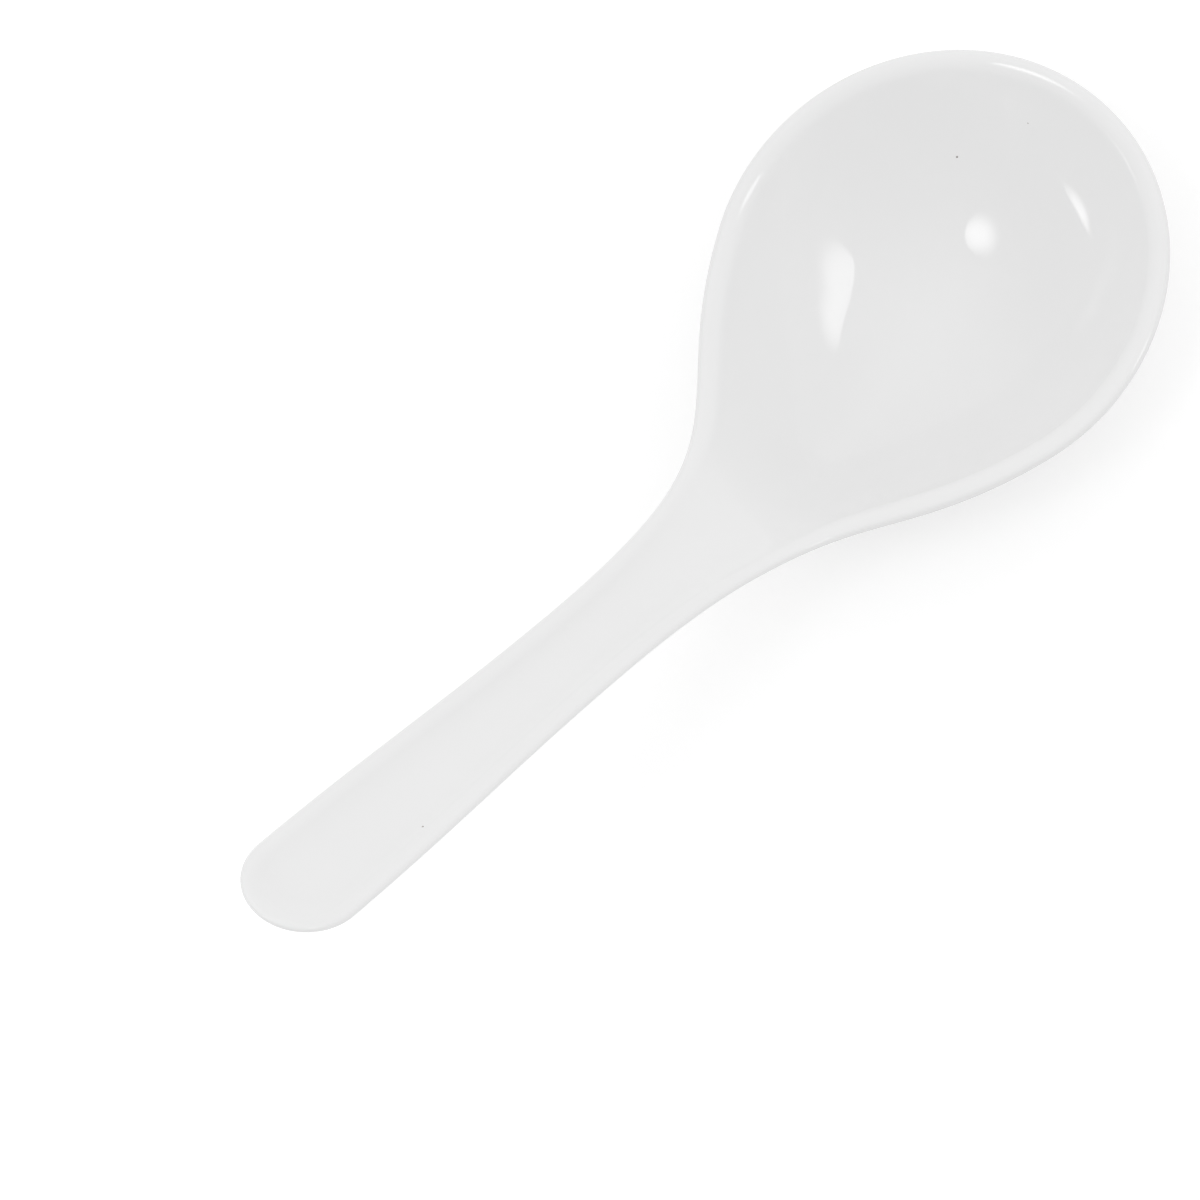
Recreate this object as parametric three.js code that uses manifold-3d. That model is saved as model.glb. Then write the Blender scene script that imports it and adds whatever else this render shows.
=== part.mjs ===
import * as THREE from 'three';
import { LoftGeometry } from 'three/addons/geometries/LoftGeometry.js';
import { mergeVertices } from 'three/addons/utils/BufferGeometryUtils.js';
import Module from 'manifold-3d';

// Large Chinese soup spoon, one moulding of white melamine, in millimetres.
// The origin is on the flat of the foot under the centre of the bowl, +X points to the
// bowl's nose, -X to the handle, +Z up. Lengths along the spoon are measured in plan
// from the bowl's centre.

// Bowl, rounded inside and with a flat foot under it; the flats of floor and foot narrow to
// the handle's channel over the taper
const BOWL_NOSE = 48;
const BOWL_HALF_WIDTH = 45.2;
const BOWL_DEPTH = 25;
const FLOOR_FLAT_RADIUS = 4;
const FOOT_FLAT_RADIUS = 10;
const FLAT_TAPER = 75;

// Shoulders, where the sides of the bowl sweep in to the neck; the pulls are how far each
// end of that curve holds its direction
const SHOULDER_ANGLE = THREE.MathUtils.degToRad(114);
const SHOULDER_PULL = 40;
const NECK_PULL = 62;
const NECK = 109;
const NECK_HALF_WIDTH = 9.7;

// Handle, a shallow channel that widens a little to its rounded end
const HANDLE_REACH = 195;
const HANDLE_END_HALF_WIDTH = 11.5;
const HANDLE_ANGLE = THREE.MathUtils.degToRad(35);
const HANDLE_CURVE_PULL = 30;
const CHANNEL_DEPTH = 2.2;
const CHANNEL_FLAT_HALF_WIDTH = 1.5;
const END_REGION = 19;

// Side view: the rim runs level, bends and climbs; the floor eases up into the throat, and
// under it the foot ends at the heel
const RIM_LEVEL = 36;
const RIM_BEND = 44;
const FLOOR_BACK = 14;
const FLOOR_BEND = 52;
const FOOT_BACK = 36;
const HEEL_BEND = 16;
const THROAT_ANGLE = THREE.MathUtils.degToRad(50);
const THROAT_BLEND = 9;

// Walls
const FLOOR_THICKNESS = 4;
const LIP_THICKNESS = 3;
const HANDLE_THICKNESS = 3;

// Shape of a wall from the floor up to the lip: a superellipse, stopped short of upright
const WALL_POWER = 2.05;
const WALL_TURN = THREE.MathUtils.degToRad(45);

// Facets
const NOSE_STEPS = 22;
const SHOULDER_STEPS = 32;
const HANDLE_STEPS = 6;
const END_STEPS = 6;
const FLOOR_STEPS = 3;
const WALL_STEPS = 8;
const LIP_STEPS = 5;

const RIM_HEIGHT = FLOOR_THICKNESS + BOWL_DEPTH;

// Height of a line that is level up to a start, then eases into a slope over a bend
function bentLine(back, start, bend, angle) {
  const run = Math.max(0, back - start);
  const share = Math.min(1, run / bend);
  const eased = bend * (share ** 3 - share ** 4 / 2);
  return Math.tan(angle) * (eased + Math.max(0, run - bend));
}

function smoothMin(a, b, blend) {
  const near = Math.max(0, blend - Math.abs(a - b)) / blend;
  return Math.min(a, b) - (near ** 3 * blend) / 6;
}

function rimHeight(x) {
  return RIM_HEIGHT + bentLine(-x, RIM_LEVEL, RIM_BEND, HANDLE_ANGLE);
}

// Height of the moulding's centre line, inside the spoon or under it
function keelHeight(x, outside) {
  const below = outside ? HANDLE_THICKNESS / Math.cos(HANDLE_ANGLE) : 0;
  const throat = outside
    ? bentLine(-x, FOOT_BACK, HEEL_BEND, THROAT_ANGLE)
    : FLOOR_THICKNESS + bentLine(-x, FLOOR_BACK, FLOOR_BEND, THROAT_ANGLE);
  const channel = rimHeight(x) - CHANNEL_DEPTH - below;
  return smoothMin(throat, channel, THROAT_BLEND);
}

// One side of the rim's outline in plan, from the nose to the middle of the handle's end,
// with the number of steps along each of its curves
function outlineCurves() {
  const nose = new THREE.EllipseCurve(0, 0, BOWL_NOSE, BOWL_HALF_WIDTH, 0, SHOULDER_ANGLE);
  const start = nose.getPoint(1);
  const leave = nose.getTangent(1).multiplyScalar(SHOULDER_PULL).add(start);
  const neck = new THREE.Vector2(-NECK, NECK_HALF_WIDTH);
  const arrive = new THREE.Vector2(-NECK + NECK_PULL, NECK_HALF_WIDTH);
  const shoulder = new THREE.CubicBezierCurve(start, leave, arrive, neck);
  const endCentre = -HANDLE_REACH + HANDLE_END_HALF_WIDTH;
  const end = new THREE.EllipseCurve(
    endCentre, 0, HANDLE_END_HALF_WIDTH, HANDLE_END_HALF_WIDTH, Math.PI / 2, Math.PI);
  const handle = new THREE.CubicBezierCurve(
    neck,
    new THREE.Vector2(-NECK - HANDLE_CURVE_PULL, NECK_HALF_WIDTH),
    new THREE.Vector2(endCentre + HANDLE_CURVE_PULL, HANDLE_END_HALF_WIDTH),
    new THREE.Vector2(endCentre, HANDLE_END_HALF_WIDTH));
  return [[nose, NOSE_STEPS], [shoulder, SHOULDER_STEPS], [handle, HANDLE_STEPS], [end, END_STEPS]];
}

// Where the section through an outline point starts on the centre line. Sections fan out
// from the bowl's centre, slide along the centre line through the shoulder, stand square
// to the handle and fan out again round its end.
function sectionCentre(x) {
  const along = -x / NECK;
  if (along <= 0) return 0;
  if (along < 1) return -NECK * along * along * (2 - along);
  return Math.max(x, -HANDLE_REACH + HANDLE_END_HALF_WIDTH);
}

// A station is a point of the outline with its outward normal and its section's start
function outlineStations() {
  const curves = outlineCurves();
  const stations = [];
  const addStation = (curve, t) => {
    const point = curve.getPoint(t);
    const tangent = curve.getTangent(t);
    const normal = new THREE.Vector2(tangent.y, -tangent.x);
    stations.push({ point, normal, centre: new THREE.Vector2(sectionCentre(point.x), 0) });
  };
  for (const [curve, steps] of curves) {
    for (let i = 0; i < steps; i += 1) addStation(curve, i / steps);
  }
  addStation(curves.at(-1)[0], 1);
  return stations;
}

// Half-width of the flat of the floor, or of the foot, where a section starts
function flatHalfWidth(x, outside) {
  const along = THREE.MathUtils.smoothstep(-x, 0, FLAT_TAPER);
  const radius = outside ? FOOT_FLAT_RADIUS : FLOOR_FLAT_RADIUS;
  return THREE.MathUtils.lerp(radius, CHANNEL_FLAT_HALF_WIDTH, along);
}

// Share of the way from the centre line to the edge, and of the height from the keel to
// the lip, at a step up the wall; steps up to 0 cross the flat floor
function profile(step, flat) {
  if (step <= 0) return { out: flat * (1 + step / FLOOR_STEPS), climb: 0 };
  const turn = (WALL_TURN * step) / WALL_STEPS;
  const spread = (angle) => Math.sin(angle) ** (2 / WALL_POWER);
  const rise = (angle) => 1 - Math.cos(angle) ** (2 / WALL_POWER);
  const out = flat + ((1 - flat) * spread(turn)) / spread(WALL_TURN);
  return { out, climb: rise(turn) / rise(WALL_TURN) };
}

function wallPoint(station, step, outside) {
  const edge = station.point.clone();
  if (!outside) edge.addScaledVector(station.normal, -LIP_THICKNESS);
  const flat = flatHalfWidth(station.centre.x, outside) / edge.distanceTo(station.centre);
  const { out, climb } = profile(step, flat);
  const plan = station.centre.clone().lerp(edge, out);
  const keel = keelHeight(plan.x, outside);
  const top = rimHeight(plan.x) - LIP_THICKNESS / 2;
  return new THREE.Vector3(plan.x, plan.y, keel + (top - keel) * climb);
}

// Point on the half-round lip between the inner and the outer wall
function lipPoint(station, step) {
  const radius = LIP_THICKNESS / 2;
  const angle = Math.PI * (1 - step / LIP_STEPS);
  const plan = station.point.clone().addScaledVector(station.normal, radius * (Math.cos(angle) - 1));
  const crest = rimHeight(plan.x) - radius;
  return new THREE.Vector3(plan.x, plan.y, crest + radius * Math.sin(angle));
}

// A ring is one closed loop round the spoon: out along its right side and back along its left
function ring(stations, pointOf) {
  const left = stations.map(pointOf);
  const right = left.map((p) => new THREE.Vector3(p.x, -p.y, p.z));
  return right.concat(left.slice(1, -1).reverse());
}

function spoonGeometry() {
  const stations = outlineStations();
  const rings = [];
  for (let step = -FLOOR_STEPS; step <= WALL_STEPS; step += 1) {
    rings.push(ring(stations, (station) => wallPoint(station, step, false)));
  }
  for (let step = 1; step < LIP_STEPS; step += 1) {
    rings.push(ring(stations, (station) => lipPoint(station, step)));
  }
  for (let step = WALL_STEPS; step >= -FLOOR_STEPS; step -= 1) {
    rings.push(ring(stations, (station) => wallPoint(station, step, true)));
  }
  return new LoftGeometry(rings);
}

const wasm = await Module();
wasm.setup();

// Weld a closed mesh, drop the facets that the centre line closes up, and make a solid
function solidOf(geometry) {
  const bare = new THREE.BufferGeometry();
  bare.setAttribute('position', geometry.attributes.position);
  bare.setIndex(geometry.index);
  const welded = mergeVertices(bare, 1e-3);
  const corners = welded.index.array;
  const kept = [];
  for (let i = 0; i < corners.length; i += 3) {
    const [a, b, c] = [corners[i], corners[i + 1], corners[i + 2]];
    if (a !== b && b !== c && c !== a) kept.push(a, b, c);
  }
  return new wasm.Manifold(new wasm.Mesh({
    numProp: 3,
    vertProperties: new Float32Array(welded.attributes.position.array),
    triVerts: new Uint32Array(kept),
  }));
}

function geometryOf(solid) {
  const mesh = solid.getMesh();
  const geometry = new THREE.BufferGeometry();
  geometry.setAttribute('position', new THREE.BufferAttribute(mesh.vertProperties, 3));
  geometry.setIndex(new THREE.BufferAttribute(mesh.triVerts, 1));
  geometry.computeVertexNormals();
  return geometry;
}

// The stretch of the moulding between two distances along -X
function region(whole, near, far) {
  const reach = 2 * HANDLE_REACH;
  const slab = new THREE.BoxGeometry(far - near, reach, reach);
  slab.translate(-(near + far) / 2, 0, 0);
  return geometryOf(whole.intersect(solidOf(slab)));
}

const melamine = new THREE.MeshStandardMaterial({ color: 0xefefed, roughness: 0.15, metalness: 0 });
const moulding = solidOf(spoonGeometry());
const regions = [
  ['bowl', -2 * BOWL_NOSE, FOOT_BACK],
  ['throat', FOOT_BACK, NECK],
  ['handle', NECK, HANDLE_REACH - END_REGION],
  ['handle_end', HANDLE_REACH - END_REGION, 2 * HANDLE_REACH],
];

const spoon = new THREE.Group();
for (const [name, near, far] of regions) {
  const mesh = new THREE.Mesh(region(moulding, near, far), melamine);
  mesh.name = name;
  spoon.add(mesh);
}

export default spoon;
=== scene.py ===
import math

import bmesh
import bpy
from mathutils import Matrix, Vector
from mathutils.geometry import interpolate_bezier


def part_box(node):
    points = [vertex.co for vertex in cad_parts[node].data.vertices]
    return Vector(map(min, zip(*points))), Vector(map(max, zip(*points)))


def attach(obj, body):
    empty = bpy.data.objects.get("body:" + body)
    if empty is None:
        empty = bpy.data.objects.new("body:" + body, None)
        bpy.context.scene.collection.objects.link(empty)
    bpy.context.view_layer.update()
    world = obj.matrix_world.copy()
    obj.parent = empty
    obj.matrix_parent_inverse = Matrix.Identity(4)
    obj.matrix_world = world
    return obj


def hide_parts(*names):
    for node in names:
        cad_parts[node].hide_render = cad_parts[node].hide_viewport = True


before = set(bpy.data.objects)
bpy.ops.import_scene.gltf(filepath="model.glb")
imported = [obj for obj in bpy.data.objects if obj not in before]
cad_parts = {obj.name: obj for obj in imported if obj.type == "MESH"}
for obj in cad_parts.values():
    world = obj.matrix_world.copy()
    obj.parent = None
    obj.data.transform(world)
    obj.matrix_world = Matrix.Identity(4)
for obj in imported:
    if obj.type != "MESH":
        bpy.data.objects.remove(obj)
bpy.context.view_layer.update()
scene = bpy.context.scene
scene.view_settings.view_transform = "Standard"
mm = 0.001
print("frame loaded:", sorted(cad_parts))


def hexToLinear(code):
    channels = [int(code[i:i + 2], 16) / 255 for i in (1, 3, 5)]
    linear = [c / 12.92 if c <= 0.04045 else ((c + 0.055) / 1.055) ** 2.4 for c in channels]
    return (*linear, 1.0)


def addNode(tree, kind, settings=None, links=None):
    node = tree.nodes.new(kind)
    for name, value in (settings or {}).items():
        if isinstance(name, int) or name in node.inputs:
            node.inputs[name].default_value = value
        else:
            setattr(node, name, value)
    for name, source in (links or {}).items():
        tree.links.new(source, node.inputs[name])
    return node


# spoon: one moulding, all sizes in mm, plan distances from the bowl's centre
noseBox, handleBox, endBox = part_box("bowl"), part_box("handle"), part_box("handle_end")
spoonShape = {
    "nose": noseBox[1][0] / mm,
    "halfWidth": noseBox[1][1] / mm,
    "rimHeight": 29.0,
    "floor": 4.0,  # thickness
    "floorFlat": 4.0,  # radius of the flat inside, then of the flat foot under it
    "footFlat": 10.0,
    "flatTaper": 75.0,  # both flats narrow to the channel's over this length
    "shoulderAngle": 114.0,
    "shoulderPull": 40.0,
    "neckPull": 62.0,
    "neck": -handleBox[1][0] / mm,
    "neckHalfWidth": 9.7,
    "reach": -endBox[0][0] / mm,
    "endHalfWidth": endBox[1][1] / mm,
    "handlePull": 30.0,
    "handleAngle": 35.0,
    "channelDepth": 2.2,
    "channelFlat": 1.5,
    "handleWall": 3.0,
    "rimLevel": 36.0,
    "rimBend": 44.0,
    "floorBack": 14.0,  # the floor eases up towards the handle from here
    "floorBend": 52.0,
    "footBack": 36.0,  # the foot ends here and turns up more sharply
    "heelBend": 16.0,
    "throatAngle": 50.0,
    "throatBlend": 9.0,
    "lipIn": 4.0,  # radii of the lip's roll, to the inside and to the outside
    "lipOut": 1.3,
    "lipLean": 60.0,  # first guess at the slope of the walls under the lip
    "lipRounds": 5,  # goes at bettering that guess
    "wallPower": 2.05,
    "wallTurn": 45.0,
    "steps": {"nose": 96, "shoulder": 110, "handle": 44, "end": 28},
    "floorSteps": 10,
    "wallSteps": 36,
    "lipSteps": 10,
    "leanStep": 0.1,  # of a wall step, over which a slope is measured
    "weld": 0.001,
}


def bentLine(back, start, bend, angle):
    run = max(0.0, back - start)
    share = min(1.0, run / bend)
    eased = bend * (share ** 3 - share ** 4 / 2)
    return math.tan(math.radians(angle)) * (eased + max(0.0, run - bend))


def rimHeight(x):
    s = spoonShape
    return s["rimHeight"] + bentLine(-x, s["rimLevel"], s["rimBend"], s["handleAngle"])


def keelHeight(x, outside):
    s = spoonShape
    if outside:
        throat = bentLine(-x, s["footBack"], s["heelBend"], s["throatAngle"])
        below = s["handleWall"] / math.cos(math.radians(s["handleAngle"]))
    else:
        throat = s["floor"] + bentLine(-x, s["floorBack"], s["floorBend"], s["throatAngle"])
        below = 0.0
    channel = rimHeight(x) - s["channelDepth"] - below
    near = max(0.0, s["throatBlend"] - abs(throat - channel)) / s["throatBlend"]
    return min(throat, channel) - near ** 3 * s["throatBlend"] / 6


def ellipseArc(centreX, radiusX, radiusY, first, last, count):
    angles = [math.radians(first + (last - first) * i / count) for i in range(count + 1)]
    return [Vector((centreX + radiusX * math.cos(a), radiusY * math.sin(a))) for a in angles]


def outlineHalf():
    s, steps = spoonShape, spoonShape["steps"]
    nose = ellipseArc(0, s["nose"], s["halfWidth"], 0, s["shoulderAngle"], steps["nose"])
    leave = (nose[-1] - nose[-2]).normalized() * s["shoulderPull"]
    neck = Vector((-s["neck"], s["neckHalfWidth"]))
    arrive = Vector((s["neckPull"], 0))
    shoulder = interpolate_bezier(nose[-1], nose[-1] + leave, neck + arrive, neck, steps["shoulder"] + 1)
    tail = Vector((s["endHalfWidth"] - s["reach"], s["endHalfWidth"]))
    pull = Vector((s["handlePull"], 0))
    handle = interpolate_bezier(neck, neck - pull, tail + pull, tail, steps["handle"] + 1)
    end = ellipseArc(tail.x, s["endHalfWidth"], s["endHalfWidth"], 90, 180, steps["end"])
    return nose + shoulder[1:] + handle[1:] + end[1:]


# sections fan out from the bowl, slide through the shoulder and square up on the handle
def sectionStart(x):
    s = spoonShape
    along = -x / s["neck"]
    if along <= 0:
        return Vector((0, 0))
    if along < 1:
        return Vector((-s["neck"] * along * along * (2 - along), 0))
    return Vector((max(x, s["endHalfWidth"] - s["reach"]), 0))


def wallPoint(start, edge, edgeDrop, step, outside):
    s = spoonShape
    along = min(1.0, max(0.0, -start.x / s["flatTaper"]))
    wide = s["footFlat" if outside else "floorFlat"]
    halfFlat = wide + (s["channelFlat"] - wide) * along * along * (3 - 2 * along)
    flat = halfFlat / (edge - start).length
    if step <= 0:
        out, climb = flat * (1 + step / s["floorSteps"]), 0.0
    else:
        last = math.radians(s["wallTurn"])
        turn = last * step / s["wallSteps"]
        power = 2 / s["wallPower"]
        out = flat + (1 - flat) * (math.sin(turn) / math.sin(last)) ** power
        climb = (1 - math.cos(turn) ** power) / (1 - math.cos(last) ** power)
    plan = start.lerp(edge, out)
    keel = keelHeight(plan.x, outside)
    return Vector((plan.x, plan.y, keel + (rimHeight(plan.x) - edgeDrop - keel) * climb))


def wallLean(start, edge, edgeDrop, outside, normal):  # slope of a wall where it meets the lip
    s = spoonShape
    top = wallPoint(start, edge, edgeDrop, s["wallSteps"], outside)
    lower = wallPoint(start, edge, edgeDrop, s["wallSteps"] - s["leanStep"], outside)
    rise = top.z - rimHeight(top.x) - lower.z + rimHeight(lower.x)
    return math.atan2(rise, (top - lower).xy.dot(normal))


# from the centre line inside, up the wall, over the lip and back under to the centre line
def sectionProfile(point, normal):
    s = spoonShape
    start, rollIn, rollOut = sectionStart(point.x), s["lipIn"], s["lipOut"]
    leanIn = leanOut = math.radians(s["lipLean"])
    for _ in range(s["lipRounds"]):  # the lip's roll starts and ends at the slope of the walls
        edgeIn = point - normal * (rollOut + rollIn * math.sin(leanIn))
        dropIn = rollIn * (1 - math.cos(leanIn))
        edgeOut = point - normal * rollOut * (1 - math.sin(leanOut))
        dropOut = rollOut * (1 + math.cos(leanOut))
        leanIn = wallLean(start, edgeIn, dropIn, False, normal)
        leanOut = wallLean(start, edgeOut, dropOut, True, normal)
    floors, walls, lips = s["floorSteps"], s["wallSteps"], s["lipSteps"]
    crest = point - normal * rollOut
    rolls = [(rollIn, math.pi / 2 + leanIn * (1 - step / lips)) for step in range(1, lips + 1)]
    rolls += [(rollOut, math.pi / 2 - (math.pi - leanOut) * step / lips) for step in range(1, lips)]
    over = []
    for radius, angle in rolls:
        plan = crest + normal * radius * math.cos(angle)
        over.append(Vector((plan.x, plan.y, rimHeight(plan.x) - radius * (1 - math.sin(angle)))))
    inside = [wallPoint(start, edgeIn, dropIn, step, False) for step in range(-floors, walls + 1)]
    downwards = range(walls, -floors - 1, -1)
    under = [wallPoint(start, edgeOut, dropOut, step, True) for step in downwards]
    return inside + over + under


def buildSpoon():
    half = outlineHalf()
    mirrored = [Vector((p.x, -p.y)) for p in half]
    before, after = [mirrored[1]] + half[:-1], half[1:] + [mirrored[-2]]
    profiles = []
    for point, last, following in zip(half, before, after):
        tangent = (following - last).normalized()
        profiles.append(sectionProfile(point, Vector((tangent.y, -tangent.x))))
    aroundCount = 2 * (len(half) - 1)

    bm = bmesh.new()
    station = bm.verts.layers.int.new("station")
    bmesh.ops.create_circle(bm, segments=aroundCount, radius=1)
    bm.verts.ensure_lookup_table()
    for index, vert in enumerate(bm.verts):
        vert[station] = index

    def moveRing(verts, row):
        for vert in verts:
            index = vert[station]
            side = 1 if index < len(half) else -1
            spot = profiles[index if side > 0 else aroundCount - index][row]
            vert.co = Vector((spot.x, side * spot.y, spot.z)) * mm

    moveRing(bm.verts, 0)
    ringEdges = list(bm.edges)
    for row in range(1, len(profiles[0])):
        made = bmesh.ops.extrude_edge_only(bm, edges=ringEdges)["geom"]
        ringVerts = {item for item in made if isinstance(item, bmesh.types.BMVert)}
        ringEdges = [item for item in made if isinstance(item, bmesh.types.BMEdge)
                     and item.verts[0] in ringVerts and item.verts[1] in ringVerts]
        moveRing(ringVerts, row)
    bmesh.ops.remove_doubles(bm, verts=bm.verts, dist=spoonShape["weld"] * mm)  # closes the centre lines
    bmesh.ops.recalc_face_normals(bm, faces=bm.faces)
    for face in bm.faces:
        face.smooth = True
    mesh = bpy.data.meshes.new("spoon_moulding")
    bm.to_mesh(mesh)
    bm.free()
    spoon = bpy.data.objects.new("spoon_moulding", mesh)
    scene.collection.objects.link(spoon)
    return spoon


spoon = buildSpoon()
print("spoon moulded:", len(spoon.data.polygons), "faces")

# melamine: compression moulded and polished, so a hard even gloss over a dense white body
melamineLook = {
    "body": "#F5F5F5",
    "bodyShade": "#F2F2F2",
    "speck": "#9C9892",
    "cloudSize": 26.0,  # mm, faint cloudiness of the filler
    "cloudRange": (0.3, 0.7),  # where most of the noise lies
    "speckSpacing": 15.0,  # mm, cells that may hold a speck
    "speckRadius": 0.22,  # mm
    "rippleSize": 11.0,  # mm, slow ripple left by polishing the mould
    "rippleHeight": 0.02,  # mm
    "roughness": (0.03, 0.05),  # goes up and down with the clouds
    "ior": 1.6,
}


def makeMelamine():
    look = melamineLook
    material = bpy.data.materials.new("polished_white_melamine")
    material.use_nodes = True
    tree = material.node_tree
    tree.nodes.clear()
    place = addNode(tree, "ShaderNodeTexCoord").outputs["Object"]
    clouds = addNode(tree, "ShaderNodeTexNoise",
                     {"Scale": 1 / (look["cloudSize"] * mm), "Detail": 3.0},
                     {"Vector": place})
    white, shade = hexToLinear(look["body"]), hexToLinear(look["bodyShade"])
    body = addNode(tree, "ShaderNodeMix", {"data_type": "RGBA", 6: white, 7: shade},
                   {0: clouds.outputs["Fac"]})

    cells = addNode(tree, "ShaderNodeTexVoronoi", {"Scale": 1 / (look["speckSpacing"] * mm)},
                    {"Vector": place})
    nearCentre = addNode(tree, "ShaderNodeMath",
                         {"operation": "LESS_THAN", 1: look["speckRadius"] / look["speckSpacing"]},
                         {0: cells.outputs["Distance"]})
    specked = addNode(tree, "ShaderNodeMix",
                      {"data_type": "RGBA", 7: hexToLinear(look["speck"])},
                      {0: nearCentre.outputs[0], 6: body.outputs[2]})

    ripple = addNode(tree, "ShaderNodeTexNoise",
                     {"Scale": 1 / (look["rippleSize"] * mm), "Detail": 1.0},
                     {"Vector": place})
    bump = addNode(tree, "ShaderNodeBump", {"Strength": 1.0, "Distance": look["rippleHeight"] * mm},
                   {"Height": ripple.outputs["Fac"]})
    low, high = look["cloudRange"]
    smooth, rough = look["roughness"]
    gloss = addNode(tree, "ShaderNodeMapRange",
                    {"From Min": low, "From Max": high, "To Min": smooth, "To Max": rough},
                    {"Value": clouds.outputs["Fac"]})
    shader = addNode(tree, "ShaderNodeBsdfPrincipled", {"IOR": look["ior"], "Metallic": 0.0},
                     {"Base Color": specked.outputs[2], "Roughness": gloss.outputs[0],
                      "Normal": bump.outputs[0]})
    addNode(tree, "ShaderNodeOutputMaterial", {}, {"Surface": shader.outputs[0]})
    return material


spoon.data.materials.append(makeMelamine())
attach(spoon, "root")
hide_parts("bowl", "throat", "handle", "handle_end")
print("melamine applied")

# floor: matt white paper, brightened to plain white where the camera and the gloss see it
floorLook = {
    "size": 6.0,  # metres
    "drop": 0.1 * mm,  # just clear of the foot
    "colour": "#DADADA",
    "glow": 0.42,  # lifts the paper to white
}


def makeFloor():
    bm = bmesh.new()
    bmesh.ops.create_grid(bm, x_segments=1, y_segments=1, size=floorLook["size"] / 2)
    mesh = bpy.data.meshes.new("floor")
    bm.to_mesh(mesh)
    bm.free()
    floor = bpy.data.objects.new("floor", mesh)
    floor.location.z = -floorLook["drop"]
    scene.collection.objects.link(floor)
    material = bpy.data.materials.new("white_sweep")
    material.use_nodes = True
    tree = material.node_tree
    tree.nodes.clear()
    paper = addNode(tree, "ShaderNodeBsdfDiffuse", {"Color": hexToLinear(floorLook["colour"])})
    path = addNode(tree, "ShaderNodeLightPath")
    seen = addNode(tree, "ShaderNodeMath", {"operation": "MAXIMUM"},
                   {0: path.outputs["Is Camera Ray"], 1: path.outputs["Is Glossy Ray"]})
    glow = addNode(tree, "ShaderNodeMath", {"operation": "MULTIPLY", 1: floorLook["glow"]},
                   {0: seen.outputs[0]})
    light = addNode(tree, "ShaderNodeEmission", {}, {"Strength": glow.outputs[0]})
    both = addNode(tree, "ShaderNodeAddShader", {}, {0: paper.outputs[0], 1: light.outputs[0]})
    addNode(tree, "ShaderNodeOutputMaterial", {}, {"Surface": both.outputs[0]})
    floor.data.materials.append(material)


makeFloor()
print("floor laid")

# lamps: a white tent all round, an oval softbox each side of the camera and a slim one far to the
# left; a box is brightest at its hot spot, a place in its own unit square, holds that over its core
# and has faded out half a box away; sides are given as right, up and back from the camera
lampLook = {
    "tent": 0.826,
    "tentLean": 0.11,  # how much brighter the tent is on its bright side
    "tentSide": (0.2, 0.9, 0.0),
    "aim": (0.0, 0.0, 0.008),  # metres, inside the bowl
    "away": 2.0,  # metres
    "fade": 0.5,  # radius, as a share of the box
    "rightBox": {"towards": (0.75, 0.10, 0.66), "size": (1.5, 0.58), "roll": -34.0,
                 "hot": (0.28, 0.30), "core": 0.12, "watts": 4.8},
    "leftBox": {"towards": (-0.48, 0.05, 0.88), "size": (0.84, 1.0), "roll": 0.0,
                "hot": (0.74, 0.5), "core": 0.1, "watts": 6.8},
    "slimBox": {"towards": (-0.98, -0.12, 0.14), "size": (0.30, 1.3), "roll": 36.0,
                "hot": (0.8, 0.5), "core": 0.02, "watts": 3.2},
}


def hangTent(facing):
    world = bpy.data.worlds.new("white_tent")
    scene.world = world
    world.use_nodes = True
    tree = world.node_tree
    tree.nodes.clear()
    side = (facing @ Vector(lampLook["tentSide"])).normalized()
    place = addNode(tree, "ShaderNodeTexCoord").outputs["Generated"]
    lean = addNode(tree, "ShaderNodeVectorMath", {"operation": "DOT_PRODUCT", 1: side}, {0: place})
    level = addNode(tree, "ShaderNodeMath",
                    {"operation": "MULTIPLY_ADD", 1: lampLook["tentLean"], 2: lampLook["tent"]},
                    {0: lean.outputs["Value"]})
    path = addNode(tree, "ShaderNodeLightPath")  # the camera itself sees plain white past the floor
    shown = addNode(tree, "ShaderNodeMath", {"operation": "MAXIMUM"},
                    {0: level.outputs[0], 1: path.outputs["Is Camera Ray"]})
    cloth = addNode(tree, "ShaderNodeBackground", {"Color": (1, 1, 1, 1)},
                    {"Strength": shown.outputs[0]})
    addNode(tree, "ShaderNodeOutputWorld", {}, {"Surface": cloth.outputs[0]})


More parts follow.
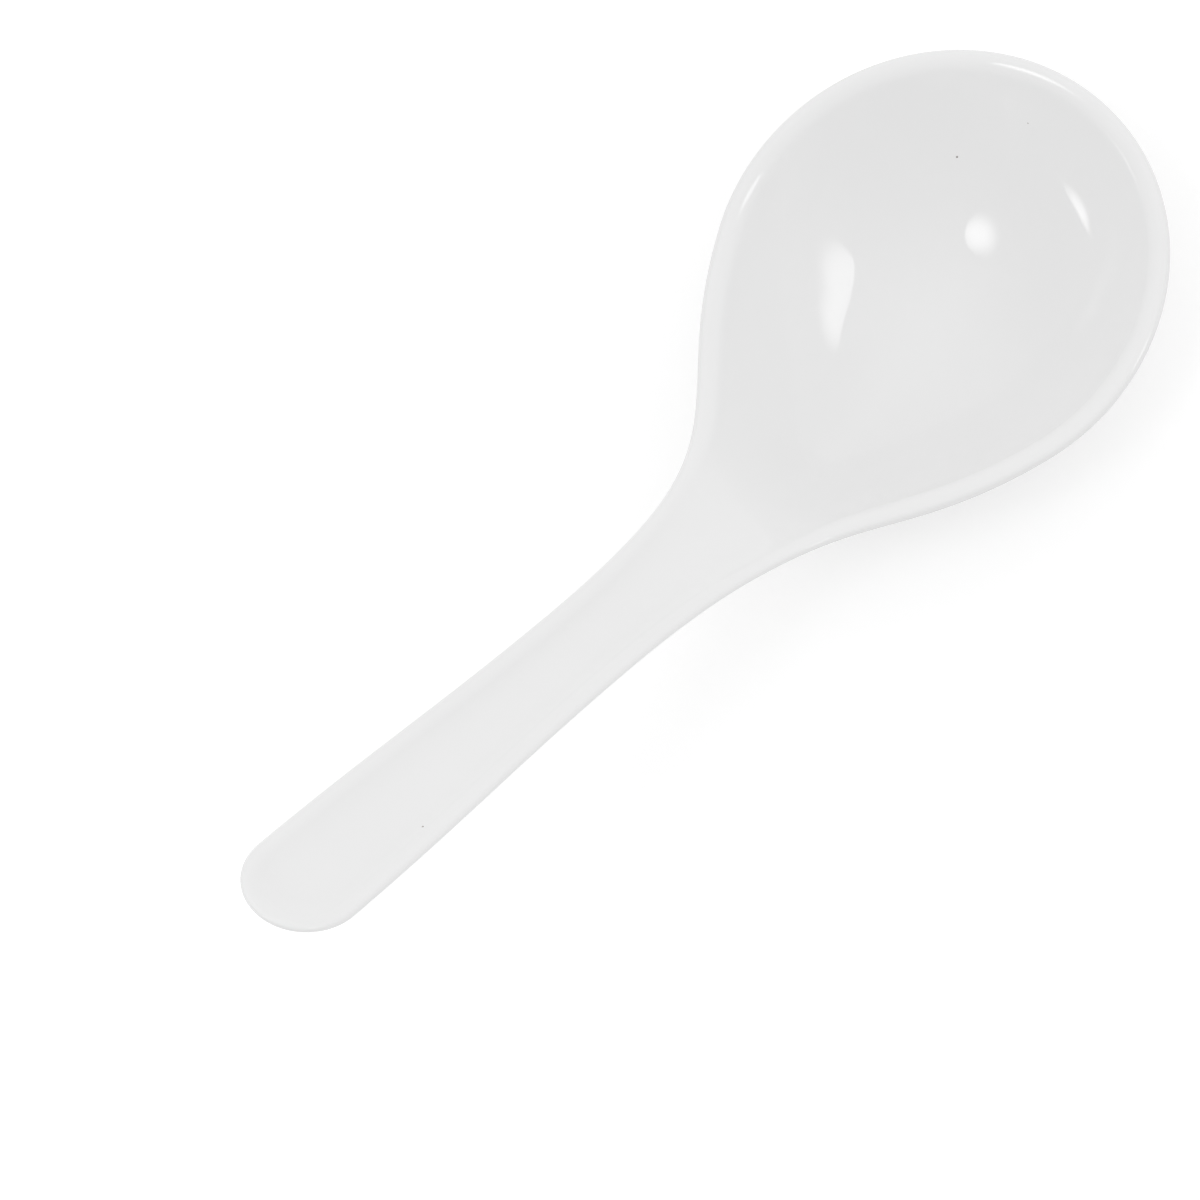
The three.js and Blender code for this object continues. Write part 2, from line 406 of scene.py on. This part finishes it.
def addSoftbox(name, facing):
    look = lampLook[name]
    lamp = bpy.data.lights.new(name, "AREA")
    lamp.shape = "ELLIPSE"
    lamp.size, lamp.size_y = look["size"]
    lamp.energy = look["watts"]
    lamp.use_nodes = True
    tree = lamp.node_tree
    tree.nodes.clear()
    square = addNode(tree, "ShaderNodeNewGeometry").outputs["Parametric"]
    out = addNode(tree, "ShaderNodeVectorMath", {"operation": "DISTANCE", 1: (*look["hot"], 0)},
                  {0: square})
    fade = addNode(tree, "ShaderNodeMapRange",
                   {"interpolation_type": "SMOOTHSTEP", "From Min": look["core"],
                    "From Max": lampLook["fade"], "To Min": 1.0, "To Max": 0.0},
                   {"Value": out.outputs["Value"]})
    cloth = addNode(tree, "ShaderNodeEmission", {}, {"Strength": fade.outputs[0]})
    addNode(tree, "ShaderNodeOutputLight", {}, {"Surface": cloth.outputs[0]})
    holder = bpy.data.objects.new(name, lamp)
    away = (facing @ Vector(look["towards"])).normalized()
    across = facing.col[1].cross(away).normalized()
    upright = Matrix((across, away.cross(across), away)).transposed()
    turn = upright @ Matrix.Rotation(math.radians(look["roll"]), 3, "Z")
    place = Vector(lampLook["aim"]) + away * lampLook["away"]
    holder.matrix_world = Matrix.Translation(place) @ turn.to_4x4()
    scene.collection.objects.link(holder)


# camera: turned about the spoon's own axes; the frame is square
cameraView = {
    "lens": 224.7,  # mm, on a sensor of this width
    "sensor": 36.0,
    "distance": 1500.0,  # mm, to the middle of the rim
    "turns": (-0.2688, 0.1536, 0.9040),  # radians about X, then Y, then Z
    "offset": (67.84, 66.34),  # mm, the rim's middle from the middle of the frame
    "clipStart": 10.0,  # mm
}


def placeCamera():
    view = cameraView
    turnX, turnY, turnZ = view["turns"]
    facing = Matrix.Rotation(-turnX, 3, "X") @ Matrix.Rotation(-turnY, 3, "Y")
    facing = facing @ Matrix.Rotation(-turnZ, 3, "Z")
    toRim = facing @ Vector((*view["offset"], -view["distance"]))
    place = (Vector((0, 0, spoonShape["rimHeight"])) - toRim) * mm
    camera = bpy.data.cameras.new("camera")
    camera.lens = view["lens"]
    camera.sensor_width = view["sensor"]
    camera.clip_start = view["clipStart"] * mm
    holder = bpy.data.objects.new("camera", camera)
    holder.matrix_world = Matrix.Translation(place) @ facing.to_4x4()
    scene.collection.objects.link(holder)
    scene.camera = holder
    return facing


facing = placeCamera()
hangTent(facing)
for name in ("rightBox", "leftBox", "slimBox"):
    addSoftbox(name, facing)
print("camera, tent and softboxes placed")
